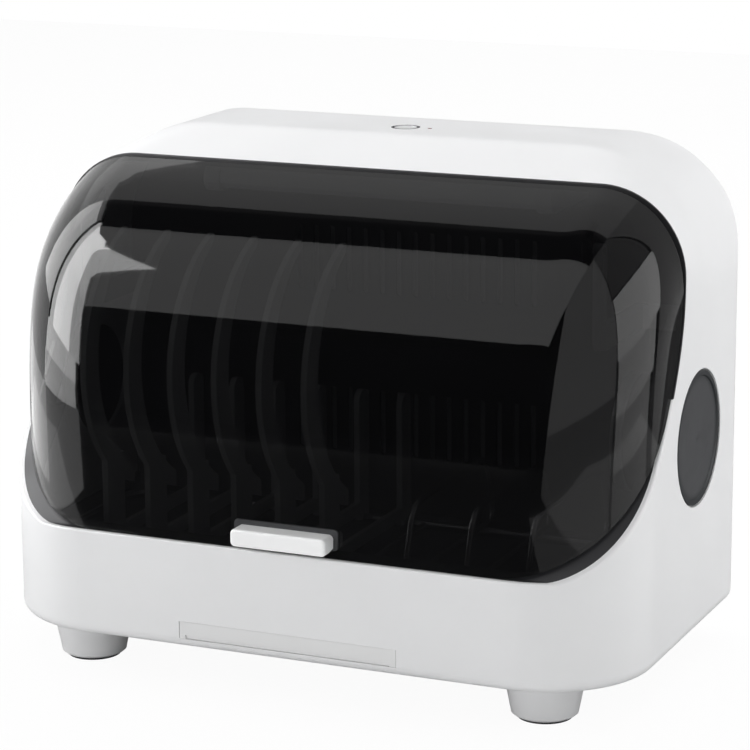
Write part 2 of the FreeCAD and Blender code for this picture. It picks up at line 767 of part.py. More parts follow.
def make_chamber_floor():
    """The floor of the chamber with drain holes over the tray and a low kerb round its edge."""
    low = floor_height - floor_thickness
    floor = plan_prism(wall + seat_gap, low, floor_height)
    kerb = plan_prism(wall + seat_gap, floor_height, floor_height + 8.0)
    kerb = kerb.cut(plan_prism(wall + seat_gap + 2.0, floor_height - 1, floor_height + 9.0))
    kerb = kerb.cut(block(-far, far, liner_y - seat_gap, far, floor_height, floor_height + 9.0))
    floor = floor.fuse(kerb).cut(block(-far, far, liner_y + liner_thickness + 1.0, far, 0, far))
    for x in (-support_x, support_x):
        for y in (front_y + 62.0, liner_y - 14.0):
            floor = floor.fuse(cylinder_z(support_radius, x, y, pan_top, low))
    holes = []
    for i in range(7):
        for j in range(5):
            x = (i - 3) * 18.0
            y = front_y + 42.0 + j * 18.0
            holes.append(cylinder_z(drain_hole_radius, x, y, low - 1, floor_height + 1))
    return floor.cut(Part.makeCompound(holes))


def make_back_liner():
    """The chamber's back wall with two rows of air slots."""
    liner = block(-far, far, liner_y, liner_y + liner_thickness, floor_height, height)
    liner = liner.common(front_prism(wall + seat_gap, base_z))
    slots = []
    for i in range(liner_slot_count):
        x = (i - (liner_slot_count - 1) / 2) * liner_slot_pitch
        for z in (liner_slot_low, liner_slot_high):
            slots.append(rounded_block(x - slot_width / 2, x + slot_width / 2, liner_y - 1,
                                       liner_y + liner_thickness + 1, z, z + slot_length, 1.9, AXIS_Y))
    return liner.cut(Part.makeCompound(slots))


def make_rear_panel():
    """The rear cover in its recess, with louvred slots and a hole for the power inlet."""
    lap = panel_lap - seat_gap
    plate = rounded_block(-panel_half_width - lap, panel_half_width + lap, rear_y - panel_recess, rear_y,
                          panel_bottom - lap, panel_top + lap, panel_corner + lap, AXIS_Y)
    x = panel_half_width - seat_gap
    core = rounded_block(-x, x, rear_y - panel_recess - 2.0, rear_y - panel_recess,
                         panel_bottom + seat_gap, panel_top - seat_gap, panel_corner, AXIS_Y)
    inside = rounded_block(-x + 3, x - 3, rear_y - panel_recess - 3.0, rear_y - panel_recess,
                           panel_bottom + 3, panel_top - 3, panel_corner - 3, AXIS_Y)
    panel = plate.fuse(core.cut(inside))
    slots = []
    for side in (-1, 1):
        for i in range(louvre_count):
            z = louvre_low + i * louvre_pitch
            x0 = side * louvre_x - louvre_length / 2
            slot = rounded_block(x0, x0 + louvre_length, rear_y - 5, rear_y + 1, z - louvre_width / 2,
                                 z + louvre_width / 2, louvre_width / 2 - 0.1, AXIS_Y)
            slots.append(slot)
    panel = panel.cut(Part.makeCompound(slots))
    for x, z in case_screw_places:
        panel = panel.cut(cylinder_y(screw_head_radius + seat_gap, x, rear_y - screw_head_height,
                                     rear_y + 1, z))
        panel = panel.cut(cylinder_y(screw_radius + fit_clearance, x, rear_y - 5, rear_y + 1, z))
    half = inlet_width / 2 + fit_clearance
    return panel.cut(block(inlet_x - half, inlet_x + half, rear_y - 9, rear_y + 1,
                           inlet_z - fit_clearance, inlet_z + inlet_height + fit_clearance))


def make_case_screws():
    screws = []
    for x, z in case_screw_places:
        screws.append(screw(x, rear_y - screw_head_height, z, AXIS_Y * -1, wall + case_boss_depth - 3.0))
    return Part.makeCompound(screws)


def make_power_inlet():
    """A two-pin inlet block with its socket open to the back."""
    half = inlet_width / 2
    body = block(inlet_x - half, inlet_x + half, rear_y - 20.0, rear_y - 0.2, inlet_z, inlet_z + inlet_height)
    flange = block(inlet_x - half - 3, inlet_x + half + 3, rear_y - panel_recess - 2.0,
                   rear_y - panel_recess, inlet_z - 3, inlet_z + inlet_height + 3)
    middle = inlet_z + inlet_height / 2
    socket = rounded_block(inlet_x - 8.5, inlet_x + 8.5, rear_y - 14.0, rear_y, middle - 4.5,
                           middle + 4.5, 4.4, AXIS_Y)
    body = body.fuse(flange).cut(socket)
    for side in (-1, 1):
        body = body.fuse(cylinder_y(1.2, inlet_x + side * 4.3, rear_y - 15.0, rear_y - 4.0, middle))
    return body


def make_tray():
    """The shallow drip drawer."""
    half = tray_width / 2
    y0 = front_y + 0.2
    tray = block(-half, half, y0, y0 + tray_depth, tray_z, tray_z + tray_height)
    hollow = block(-half + tray_wall, half - tray_wall, y0 + tray_wall + 1.0,
                   y0 + tray_depth - tray_wall, tray_z + tray_wall, tray_z + tray_height + 1)
    hollow = round_edges(hollow, 4.0, AXIS_Z, lambda c: True)
    tray = tray.cut(hollow)
    pull = block(-half + 4.0, half - 4.0, y0 - 1, y0 + 1.2, tray_z - 1, tray_z + 2.6)
    return tray.cut(pull)


def make_runner():
    x0 = tray_width / 2 + seat_gap
    y0 = front_y + wall + 5.6
    return block(x0, x0 + runner_width, y0, y0 + tray_depth + 10.0, pan_top, pan_top + runner_height)


def wire_loop(points, bend, radius):
    """A round wire through the points, closed, with equal bends."""
    count = len(points)
    edges = []
    for i in range(count):
        before, here, after = points[i - 1], points[i], points[(i + 1) % count]
        a = here + (before - here).normalize() * bend
        b = here + (after - here).normalize() * bend
        middle_way = ((before - here).normalize() + (after - here).normalize()).normalize()
        turn = (before - here).getAngle(after - here)
        centre_distance = bend / math.cos(turn / 2)
        arc_radius = bend * math.tan(turn / 2)
        middle = here + middle_way * (centre_distance - arc_radius)
        edges.append(Part.Arc(a, middle, b).toShape())
        next_start = after + (here - after).normalize() * bend
        edges.append(Part.LineSegment(b, next_start).toShape())
    path = Part.Wire(edges)
    start = edges[0].firstVertex().Point
    heading = edges[0].tangentAt(edges[0].FirstParameter)
    ring = Part.Wire(Part.makeCircle(radius, start, heading))
    return path.makePipeShell([ring], True, False)


def make_rack_frame():
    """The welded wire frame that stands on the floor."""
    x = rack_half_length
    corners = [point(rail_front_y, rail_z, -x), point(rail_front_y, rail_z, x),
               point(rail_rear_y, rail_z, x), point(rail_rear_y, rail_z, -x)]
    loop = wire_loop(corners, rack_bend, rail_radius)
    bars = []
    bar_places = [divider_first_x + 1.5 * divider_pitch, divider_first_x + 5.5 * divider_pitch,
                  rack_half_length / 2]
    for x in bar_places:
        bars.append(cylinder_y(rail_radius - 0.6, x, rail_front_y, rail_rear_y, rail_z))
    return loop.multiFuse(bars)


def make_divider(x):
    """A crescent fin that holds a plate by its front edge, with a short fin behind. It snaps over the rails."""
    x0 = x - divider_thickness / 2
    x1 = x + divider_thickness / 2
    y = rail_front_y + fin_centre_back
    z = fin_centre_height
    fin = cylinder_x(fin_radius, x0, x1, y, z)
    fin = fin.cut(cylinder_x(fin_radius - fin_tip, x0 - 1, x1 + 1, y + fin_belly, z + fin_lift))
    fin = fin.common(block(x0, x1, y - far, rail_front_y + fin_tip_back, floor_height + 34.0, height))
    stem = block(x0, x1, rail_front_y - rail_radius * 2.5, rail_front_y + rail_radius * 5, rail_z,
                 fin_centre_height - fin_radius * 0.68)
    bar = block(x0, x1, rail_front_y, rail_rear_y, rail_z + rail_radius + 1.0, rail_z + rail_radius + 9.0)
    rear = block(x0, x1, rail_rear_y - rail_radius * 2.5, rail_rear_y + rail_radius * 2.5, rail_z, rear_fin_top)
    rear = fuse([rear, cylinder_x(rail_radius * 2.5, x0, x1, rail_rear_y, rear_fin_top)])
    whole = fuse([fin, stem, bar, rear])
    for rail_y in (rail_front_y, rail_rear_y):
        whole = whole.cut(cylinder_x(rail_radius + fit_clearance, x0 - 1, x1 + 1, rail_y, rail_z))
    return whole


def make_cup_hoops():
    """Low wire hoops for cups, standing on the rails at the right."""
    hoops = []
    low = rail_z + rail_radius + cup_wire_radius + fit_clearance
    for i in range(cup_hoop_count):
        x = cup_first_x + i * cup_hoop_pitch
        reach = cup_hoop_bend + rail_radius
        corners = [point(rail_front_y - reach, low, x), point(rail_rear_y + reach, low, x),
                   point(rail_rear_y, low + cup_hoop_height, x),
                   point(rail_front_y, low + cup_hoop_height, x)]
        hoops.append(wire_loop(corners, cup_hoop_bend, cup_wire_radius))
    return Part.makeCompound(hoops)


def make_lamp():
    return cylinder_x(lamp_radius, -lamp_half_length, lamp_half_length, lamp_y, lamp_z)


def make_lamp_holder():
    """Two brackets on the back wall that hold the tube by its ends."""
    brackets = []
    for side in (-1, 1):
        x0 = min(side * (lamp_half_length - 8.0), side * (lamp_half_length + 3.0))
        x1 = max(side * (lamp_half_length - 8.0), side * (lamp_half_length + 3.0))
        arm = block(x0, x1, lamp_y, liner_y, lamp_z - lamp_radius - 1.0, lamp_z + lamp_radius + 1.0)
        cap = cylinder_x(lamp_radius + 2.0, x0, x1, lamp_y, lamp_z)
        socket = cylinder_x(lamp_radius + fit_clearance, -lamp_half_length, lamp_half_length, lamp_y, lamp_z)
        brackets.append(arm.fuse(cap).removeSplitter().cut(socket))
    return Part.makeCompound(brackets)


def make_control_board():
    """The board under the button, with its switch and a row of parts."""
    y0 = button_y - board_ahead_of_button
    y1 = liner_y - 1.0
    board = block(-board_half_width, board_half_width, y0, y1, board_z, board_z + board_thickness)
    top = board_z + board_thickness
    switch = block(-3.0, 3.0, button_y - 3.0, button_y + 3.0, top, top + 4.0)
    parts = [switch]
    for i in range(4):
        x = -30.0 + i * 6.0
        parts.append(block(x, x + 3.5, y0 + 9.0, y0 + 15.0, top, top + 3.0))
    parts.append(cylinder_z(4.0, 28.0, button_y - 6.0, top, top + 8.0))
    return board.multiFuse(parts)


def make_board_cover():
    """The splash cover that closes the board off from the chamber."""
    y0 = button_y - board_ahead_of_button - board_cover_ahead
    low = board_z - board_cover_drop
    x = board_half_width + board_cover_margin
    shell = block(-x, x, y0, liner_y, low, height - wall)
    shell = round_edges(shell, 6.0, AXIS_Z, lambda c: c.y < liner_y - 1)
    x -= board_cover_wall
    hollow = block(-x, x, y0 + board_cover_wall, liner_y + 1, low + board_cover_wall, height)
    hollow = round_edges(hollow, 6.0 - board_cover_wall, AXIS_Z, lambda c: c.y < liner_y - 1)
    return shell.cut(hollow)


def make_button_pieces():
    """Cap with its stem, bezel, return spring and indicator lens."""
    cap = cylinder_z(button_radius, 0, button_y, height - button_height, height - 0.2)
    rims = [e for e in cap.Edges if len(e.Vertexes) == 1 and e.CenterOfMass.z > height - 1]
    cap = cap.makeFillet(0.8, rims)
    switch_top = board_z + board_thickness + 4.0
    cap = cap.fuse(cylinder_z(2.0, 0, button_y, switch_top + button_travel + 0.2, height - button_height))
    bezel_radius = button_radius + button_gap + bezel_width
    bezel = cylinder_z(bezel_radius, 0, button_y, height - wall - 1.0, height)
    bezel = bezel.cut(cylinder_z(button_radius + button_gap, 0, button_y, height - wall - 2, height + 1))
    low = board_z + board_thickness
    spring = cylinder_z(6.2, 0, button_y, low, height - button_height)
    spring = spring.cut(cylinder_z(5.4, 0, button_y, low - 1, height))
    lens = cylinder_z(indicator_radius, indicator_x, button_y, height - wall - 1.5, height)
    return cap, bezel, spring, lens


def build():
    bar, plate, handle_screws, handle_holes = make_handle_pieces()
    duct, motor, rotor, heater = make_fan_pieces()
    cap, bezel, spring, lens = make_button_pieces()
    arm = make_hinge_arm()
    pin = make_hinge_pin()
    bush = make_hinge_bush()
    disc = make_side_disc()
    runner = make_runner()
    nodes = {
        "casing": make_casing(),
        "opening_frame": make_opening_frame(),
        "cover": make_cover(handle_holes),
        "cover_handle": bar,
        "handle_plate": plate,
        "handle_screws": handle_screws,
        "hinge_arm_right": arm,
        "hinge_arm_left": mirrored(arm),
        "hinge_pin_right": pin,
        "hinge_pin_left": mirrored(pin),
        "hinge_bush_right": bush,
        "hinge_bush_left": mirrored(bush),
        "hinge_screws": make_hinge_screws(),
        "side_disc_right": disc,
        "side_disc_left": mirrored(disc),
        "fan_duct": duct,
        "fan_motor": motor,
        "fan_rotor": rotor,
        "heater": heater,
        "base_pan": make_base_pan(),
        "chamber_floor": make_chamber_floor(),
        "back_liner": make_back_liner(),
        "rear_panel": make_rear_panel(),
        "case_screws": make_case_screws(),
        "power_inlet": make_power_inlet(),
        "drip_tray": make_tray(),
        "tray_runner_right": runner,
        "tray_runner_left": mirrored(runner),
        "rack_frame": make_rack_frame(),
        "cup_hoops": make_cup_hoops(),
        "lamp": make_lamp(),
        "lamp_holder": make_lamp_holder(),
        "control_board": make_control_board(),
        "board_cover": make_board_cover(),
        "power_button": cap,
        "button_bezel": bezel,
        "button_spring": spring,
        "indicator_lens": lens,
        "foot_screws": make_foot_screws(),
    }
    for i in range(divider_count):
        nodes["plate_divider_%d" % (i + 1)] = make_divider(divider_first_x + i * divider_pitch)
    names = ["left_front", "left_rear", "right_front", "right_rear"]
    for name, (x, y) in zip(names, foot_places):
        nodes["foot_" + name] = make_foot(x, y)
        nodes["foot_pad_" + name] = make_foot_pad(x, y)
    return nodes


os.makedirs("parts", exist_ok=True)
for node, shape in build().items():
    shape.exportStep("parts/" + node + ".step")
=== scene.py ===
import bpy
import json
import math
import numpy as np
from mathutils import Matrix, Vector


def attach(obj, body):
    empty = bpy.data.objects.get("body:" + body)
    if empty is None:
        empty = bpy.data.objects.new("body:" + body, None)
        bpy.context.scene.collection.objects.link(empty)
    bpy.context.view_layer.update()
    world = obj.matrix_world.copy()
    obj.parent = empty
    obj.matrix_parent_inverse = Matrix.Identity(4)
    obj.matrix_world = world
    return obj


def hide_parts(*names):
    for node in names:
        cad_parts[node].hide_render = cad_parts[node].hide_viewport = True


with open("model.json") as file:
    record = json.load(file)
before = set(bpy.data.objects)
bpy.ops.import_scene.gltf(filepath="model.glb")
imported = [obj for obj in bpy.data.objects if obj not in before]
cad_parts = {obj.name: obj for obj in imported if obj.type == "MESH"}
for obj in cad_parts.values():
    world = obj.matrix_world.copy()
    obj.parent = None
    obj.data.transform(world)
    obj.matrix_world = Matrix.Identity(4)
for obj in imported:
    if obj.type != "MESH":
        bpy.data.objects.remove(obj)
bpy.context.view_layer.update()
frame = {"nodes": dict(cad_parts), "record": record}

scene = bpy.context.scene
nodes = frame["nodes"]

# ---------------------------------------------------------------- materials


class Shader:
    """A small helper that builds one procedural material."""

    def __init__(self, name):
        self.material = bpy.data.materials.new(name)
        self.material.use_nodes = True
        self.tree = self.material.node_tree
        self.tree.nodes.clear()
        self.out = self.add("ShaderNodeOutputMaterial")
        self.base = self.add("ShaderNodeBsdfPrincipled")
        self.link(self.base, "BSDF", self.out, "Surface")
        self.place = self.add("ShaderNodeTexCoord")

    def add(self, kind, **values):
        node = self.tree.nodes.new(kind)
        for key, value in values.items():
            if key in node.inputs:
                node.inputs[key].default_value = value
            else:
                setattr(node, key, value)
        return node

    def link(self, a, a_socket, b, b_socket):
        self.tree.links.new(a.outputs[a_socket], b.inputs[b_socket])

    def noise(self, scale, detail=3.0, stretch=(1, 1, 1)):
        mapping = self.add("ShaderNodeMapping")
        mapping.inputs["Scale"].default_value = stretch
        self.link(self.place, "Object", mapping, "Vector")
        node = self.add("ShaderNodeTexNoise", Scale=scale, Detail=detail)
        self.link(mapping, "Vector", node, "Vector")
        return node

    def ramp(self, source, a, b, low=0.3, high=0.7):
        ramp = self.add("ShaderNodeValToRGB")
        ramp.color_ramp.elements[0].position = low
        ramp.color_ramp.elements[1].position = high
        ramp.color_ramp.elements[0].color = (*a, 1)
        ramp.color_ramp.elements[1].color = (*b, 1)
        self.tree.links.new(source.outputs["Fac"], ramp.inputs["Fac"])
        return ramp

    def span(self, source, low, high):
        node = self.add("ShaderNodeMapRange")
        node.inputs["From Min"].default_value = 0.25
        node.inputs["From Max"].default_value = 0.75
        node.inputs["To Min"].default_value = low
        node.inputs["To Max"].default_value = high
        self.tree.links.new(source.outputs["Fac"], node.inputs["Value"])
        return node


def moulded(name, color, rough, vary, grain, bump, metallic=0.0, stretch=(1, 1, 1), level=0.5):
    """Moulded or painted surface: slight colour drift, uneven gloss and a fine grain."""
    s = Shader(name)
    broad = s.noise(9.0, 4.0)
    dark = tuple(max(0.0, c * (1 - vary)) for c in color)
    light = tuple(min(1.0, c * (1 + vary)) for c in color)
    s.link(s.ramp(broad, dark, light), "Color", s.base, "Base Color")
    patch = s.noise(38.0, 5.0, stretch)
    s.link(s.span(patch, rough * 0.88, rough * 1.12), "Result", s.base, "Roughness")
    fine = s.noise(grain, 2.0, stretch)
    bumper = s.add("ShaderNodeBump", Strength=bump, Distance=0.0004)
    s.link(fine, "Fac", bumper, "Height")
    s.link(bumper, "Normal", s.base, "Normal")
    s.base.inputs["Metallic"].default_value = metallic
    s.base.inputs["Specular IOR Level"].default_value = level
    return s


def smoked(name):
    """Smoked clear plastic: black tint, see-through, with a slightly uneven gloss."""
    s = moulded(name, (0.002, 0.002, 0.0024), 0.03, 0.2, 900.0, 0.003)
    s.base.inputs["Alpha"].default_value = 0.68
    s.base.inputs["IOR"].default_value = 1.5
    return s


def glowing(name):
    """Frosted tube under a clear coat."""
    s = moulded(name, (0.86, 0.87, 0.88), 0.3, 0.02, 600.0, 0.01)
    s.base.inputs["Coat Weight"].default_value = 0.5
    return s


# The side discs' centre and rim in metres, as in the source; the painted rim shade fades in from
# the rim start and stops at the disc's edge
DISC_CENTRE = (0.0, 0.0365, 0.153)
DISC_RIM_START, DISC_RIM_FULL, DISC_EDGE = 0.0372, 0.0380, 0.0436


def ringed(name, color, rim):
    """Grained dark plastic with painted shade on the outer rim of the side discs: a darker rim
    colour standing in for the shade of their recessed edge.
    """
    s = moulded(name, color, 0.42, 0.08, 2200.0, 0.12)
    split = s.add("ShaderNodeSeparateXYZ")
    s.link(s.place, "Object", split, "Vector")
    reach = s.add("ShaderNodeVectorMath", operation="DISTANCE")
    flat = s.add("ShaderNodeCombineXYZ")
    s.link(split, "Y", flat, "Y")
    s.link(split, "Z", flat, "Z")
    s.link(flat, "Vector", reach, 0)
    reach.inputs[1].default_value = DISC_CENTRE
    ramp = s.add("ShaderNodeValToRGB")
    ramp.color_ramp.elements[0].position = DISC_RIM_START
    ramp.color_ramp.elements[1].position = DISC_RIM_FULL
    ramp.color_ramp.elements[0].color = (0, 0, 0, 1)
    ramp.color_ramp.elements[1].color = (1, 1, 1, 1)
    s.link(reach, "Value", ramp, "Fac")
    inside = s.add("ShaderNodeMath", operation="LESS_THAN")
    s.link(reach, "Value", inside, 0)
    inside.inputs[1].default_value = DISC_EDGE
    # painted shade: the outer rim band of each side disc takes the darker rim colour
    painted_rim_shade = s.add("ShaderNodeMath", operation="MULTIPLY")
    s.link(ramp, "Color", painted_rim_shade, 0)
    s.link(inside, "Value", painted_rim_shade, 1)
    mix = s.add("ShaderNodeMix", data_type="RGBA")
    s.link(painted_rim_shade, "Value", mix, "Factor")
    darker, lighter = (tuple(c * share for c in color) for share in (0.92, 1.08))
    drift = s.ramp(s.noise(9.0, 4.0), darker, lighter)
    s.tree.links.new(drift.outputs["Color"], mix.inputs[6])
    mix.inputs[7].default_value = (*rim, 1)
    s.tree.links.new(mix.outputs[2], s.base.inputs["Base Color"])
    return s


# Slot: material. The numbers are colour, roughness, colour drift, grain, grain depth and metal.
SHADES = {
    "white_shell": moulded("white_shell_paint", (0.77, 0.77, 0.775), 0.36, 0.015, 1500.0, 0.03,
                           level=0.35),
    "black_trim": moulded("black_trim_rubber", (0.012, 0.012, 0.014), 0.5, 0.15, 1800.0, 0.06),
    "smoked_clear": smoked("smoked_clear_plastic"),
    "white_bar": moulded("white_bar_plastic", (0.92, 0.92, 0.92), 0.3, 0.02, 1600.0, 0.02),
    # dark plate: its second colour is the painted shade on the side discs' outer rim
    "dark_plate": ringed("dark_grey_plastic", (0.036, 0.037, 0.040), (0.010, 0.012, 0.014)),
    "steel_screws": moulded("screw_steel", (0.55, 0.55, 0.56), 0.28, 0.06, 2500.0, 0.08, 1.0),
    "grey_bracket": moulded("bracket_paint", (0.25, 0.25, 0.255), 0.4, 0.08, 1500.0, 0.08),
    "bright_steel": moulded("bright_wire", (0.50, 0.50, 0.51), 0.22, 0.05, 1200.0, 0.03, 1.0),
    "pale_bush": moulded("bush_plastic", (0.68, 0.66, 0.60), 0.45, 0.05, 2000.0, 0.06),
    "black_plastic": moulded("black_moulding", (0.02, 0.02, 0.021), 0.45, 0.15, 1800.0, 0.08),
    "motor_metal": moulded("motor_can", (0.42, 0.42, 0.43), 0.35, 0.06, 900.0, 0.05, 1.0,
                           (1, 1, 12)),
    "heater_metal": moulded("heater_fins", (0.55, 0.55, 0.56), 0.45, 0.05, 1500.0, 0.08, 1.0),
    "pan_metal": moulded("pan_paint", (0.60, 0.60, 0.59), 0.45, 0.03, 1200.0, 0.12),
    "liner_dark": moulded("liner_plastic", (0.018, 0.018, 0.020), 0.5, 0.15, 1500.0, 0.08),
    "tray_white": moulded("tray_plastic", (0.74, 0.74, 0.74), 0.38, 0.015, 1600.0, 0.04),
    "lamp_glass": glowing("lamp_frosted"),
    "board_green": moulded("board_laminate", (0.02, 0.10, 0.045), 0.35, 0.15, 800.0, 0.05),
    "button_grey": moulded("button_plastic", (0.70, 0.70, 0.705), 0.3, 0.03, 1800.0, 0.04),
    "bezel_chrome": moulded("bezel_satin", (0.66, 0.66, 0.67), 0.24, 0.04, 1800.0, 0.03, 0.9),
    "lens_red": moulded("lens_clear_red", (0.32, 0.05, 0.04), 0.18, 0.05, 900.0, 0.01),
    "divider_white": moulded("divider_plastic", (0.66, 0.67, 0.67), 0.4, 0.03, 1600.0, 0.06),
    "foot_grey": moulded("foot_plastic", (0.68, 0.68, 0.685), 0.4, 0.03, 1700.0, 0.06),
    "foot_rubber": moulded("foot_rubber_sole", (0.028, 0.028, 0.03), 0.7, 0.2, 1900.0, 0.25),
}
for part in frame["record"]["subparts"]:
    node = nodes[part["node"]]
    shade = SHADES[part["material_slot"]].material
    node.data.materials.clear()
    node.data.materials.append(shade)
    for polygon in node.data.polygons:
        polygon.material_index = 0

# ------------------------------------------------------------- smooth shading

SHARPEST_SMOOTH_EDGE = math.radians(28)

for node in nodes.values():
    for polygon in node.data.polygons:
        polygon.use_smooth = True
    split = node.modifiers.new("edges", "EDGE_SPLIT")
    split.split_angle = SHARPEST_SMOOTH_EDGE
    split.use_edge_sharp = False

# ------------------------------------------------- the cover's exact curvature

# The cover's driving sizes as in the source, in metres: the side line is one Bezier curve from
# the lip to the low edge, and the corner's radius grows along it
HALF_WIDTH = 0.215
COVER_WALL = 0.0025
LIP = (0.0029, 0.3147)
LOW = (-0.1130, 0.0850)
TOP_PULL, TOP_SLOPE = 0.110, 0.33
FRONT_PULL, FRONT_SLOPE = 0.125, 0.04
CORNER_TOP, CORNER_FRONT = 0.054, 0.088
CURVE_STEPS = 1201
ON_SURFACE = 0.0008
SAME_WAY = 0.80


def cover_normals(points, inset):
    """Distance from the cover's surface and its exact normal, for each point."""
    t = np.linspace(0, 1, CURVE_STEPS)[:, None]
    top = np.array([LIP[0], LIP[1] - inset / math.cos(TOP_SLOPE)])
    low = np.array([LOW[0] + inset, LOW[1]])
    pull_top = top - TOP_PULL * np.array([math.cos(TOP_SLOPE), math.sin(TOP_SLOPE)])
    pull_low = low + FRONT_PULL * np.array([math.sin(FRONT_SLOPE), math.cos(FRONT_SLOPE)])
    line = ((1 - t) ** 3 * top + 3 * (1 - t) ** 2 * t * pull_top
            + 3 * (1 - t) * t * t * pull_low + t ** 3 * low)
    run = ((1 - t) ** 2 * (pull_top - top) + 2 * (1 - t) * t * (pull_low - pull_top)
           + t * t * (low - pull_low))
    run /= np.linalg.norm(run, axis=1)[:, None]
    out = np.stack([run[:, 1], -run[:, 0]], axis=1)
    radius = (CORNER_TOP + (CORNER_FRONT - CORNER_TOP) * t[:, 0]) - inset
    centre = line - radius[:, None] * out
    x, yz = points[:, 0], points[:, 1:]
    along = yz @ run.T - np.sum(centre * run, axis=1)
    k = np.argmin(np.abs(along), axis=1)
    pick = np.arange(len(points))
    near = np.clip(k + np.where(along[pick, k] > 0, 1, -1), 0, len(t) - 1)
    a, b = np.abs(along[pick, k]), np.abs(along[pick, near])
    share = (a / np.maximum(a + b, 1e-12))[:, None]
    out_k = out[k] * (1 - share) + out[near] * share
    centre_k = centre[k] * (1 - share) + centre[near] * share
    radius_k = radius[k] * (1 - share[:, 0]) + radius[near] * share[:, 0]
    across = np.abs(x) - (HALF_WIDTH - inset - radius_k)
    rise = np.sum((yz - centre_k) * out_k, axis=1)
    away = np.where(across <= 0, rise - radius_k,
                    np.where(rise <= 0, across - radius_k, np.hypot(across, rise) - radius_k))
    side = np.maximum(across, 0)
    up_part = np.where((rise <= 0) & (across > 0), 0, np.maximum(rise, 1e-9))
    normal = np.stack([np.sign(x) * side, out_k[:, 0] * up_part, out_k[:, 1] * up_part], axis=1)
    return np.abs(away), normal / np.linalg.norm(normal, axis=1)[:, None]


def smooth_cover():
    """The cover's own mesh with exact normals, so that reflections run over it without ripples."""
    source = nodes["cover"]
    mesh = source.data.copy()
    mesh.name = "clear_cover"
    piece = bpy.data.objects.new("clear_cover", mesh)
    scene.collection.objects.link(piece)
    points = np.array([v.co for v in mesh.vertices])
    far_out, out_normal = cover_normals(points, 0.0)
    far_in, in_normal = cover_normals(points, COVER_WALL)
    exact = np.where((far_out < far_in)[:, None], out_normal, -in_normal)
    usable = np.minimum(far_out, far_in) < ON_SURFACE
    normals = []
    for polygon in mesh.polygons:
        polygon.use_smooth = True
        flat = np.array(polygon.normal)
        for loop in polygon.loop_indices:
            vertex = mesh.loops[loop].vertex_index
            good = usable[vertex] and np.dot(flat, exact[vertex]) > SAME_WAY
            normals.append(exact[vertex] if good else flat)
    mesh.normals_split_custom_set([tuple(n) for n in normals])
    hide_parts("cover")
    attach(piece, "cover_body")


smooth_cover()

# ------------------------------------------------------------------- camera

AZIMUTH = math.radians(23.77)
ELEVATION = math.radians(13.37)
ROLL = math.radians(-0.35)
TARGET = Vector((-0.01973, 0.0683, 0.16516))
DISTANCE = 1.98916
LENS, SENSOR = 144.0, 36.0
FARTHEST_SEEN = 30

back = Vector((math.sin(AZIMUTH) * math.cos(ELEVATION),
               -math.cos(AZIMUTH) * math.cos(ELEVATION), math.sin(ELEVATION)))
level_right = Vector((math.cos(AZIMUTH), math.sin(AZIMUTH), 0))
level_up = back.cross(level_right)
right = level_right * math.cos(ROLL) + level_up * math.sin(ROLL)
up = level_up * math.cos(ROLL) - level_right * math.sin(ROLL)
camera_data = bpy.data.cameras.new("camera")
camera_data.lens = LENS
camera_data.sensor_width = SENSOR
camera = bpy.data.objects.new("camera", camera_data)
scene.collection.objects.link(camera)
turn = Matrix((right, up, back)).transposed().to_4x4()
camera.matrix_world = Matrix.Translation(TARGET + back * DISTANCE) @ turn
camera_data.clip_end = FARTHEST_SEEN
scene.camera = camera

# ----------------------------------------------------------- floor and light


def stage_plane(name, corners, material):
    mesh = bpy.data.meshes.new(name)
    mesh.from_pydata([Vector(c) for c in corners], [], [tuple(range(len(corners)))])
    obj = bpy.data.objects.new(name, mesh)
    scene.collection.objects.link(obj)
    obj.data.materials.append(material)


def pale_ground(name, share, mirrored_share):
    """Pale matt ground: the camera sees it as white by this share, reflections see it dimmed."""
    s = Shader(name)
    broad = s.noise(2.0, 3.0)
    s.link(s.ramp(broad, (0.80, 0.80, 0.80), (0.83, 0.83, 0.83)), "Color", s.base, "Base Color")
    s.base.inputs["Roughness"].default_value = 0.9
    s.base.inputs["Specular IOR Level"].default_value = 0.1
    white = s.add("ShaderNodeEmission")
    white.inputs["Color"].default_value = (1, 1, 1, 1)
    path = s.add("ShaderNodeLightPath")
    amount = s.add("ShaderNodeMath", operation="MULTIPLY")
    amount.inputs[1].default_value = share
    s.link(path, "Is Camera Ray", amount, 0)
    mix = s.add("ShaderNodeMixShader")
    s.link(amount, "Value", mix, "Fac")
    s.link(s.base, "BSDF", mix, 1)
    s.link(white, "Emission", mix, 2)
    dark = s.add("ShaderNodeEmission")
    dark.inputs["Color"].default_value = (0, 0, 0, 1)
    dim = s.add("ShaderNodeMath", operation="MULTIPLY")
    dim.inputs[1].default_value = 1 - mirrored_share
    s.link(path, "Is Glossy Ray", dim, 0)
    shade = s.add("ShaderNodeMixShader")
    s.link(dim, "Value", shade, "Fac")
    s.link(mix, "Shader", shade, 1)
    s.link(dark, "Emission", shade, 2)
    s.link(shade, "Shader", s.out, "Surface")
    return s.material


REACH, REAR = 6, 3.0
FLOOR_WHITE, BACKDROP_WHITE, MIRRORED = 0.95, 1.0, 0.10
stage_plane("floor", [(-REACH, -REACH, 0), (REACH, -REACH, 0), (REACH, REAR, 0), (-REACH, REAR, 0)],
            pale_ground("floor_pale", FLOOR_WHITE, MIRRORED))
stage_plane("backdrop", [(-REACH, REAR, 0), (REACH, REAR, 0), (REACH, REAR, REACH),
                         (-REACH, REAR, REACH)],
            pale_ground("backdrop_pale", BACKDROP_WHITE, MIRRORED))

world = bpy.data.worlds.new("world")
scene.world = world
world.use_nodes = True
sky = world.node_tree
sky.nodes.clear()


def sky_shade(color, strength):
    node = sky.nodes.new("ShaderNodeBackground")
    node.inputs["Color"].default_value = (*color, 1)
    node.inputs["Strength"].default_value = strength
    return node


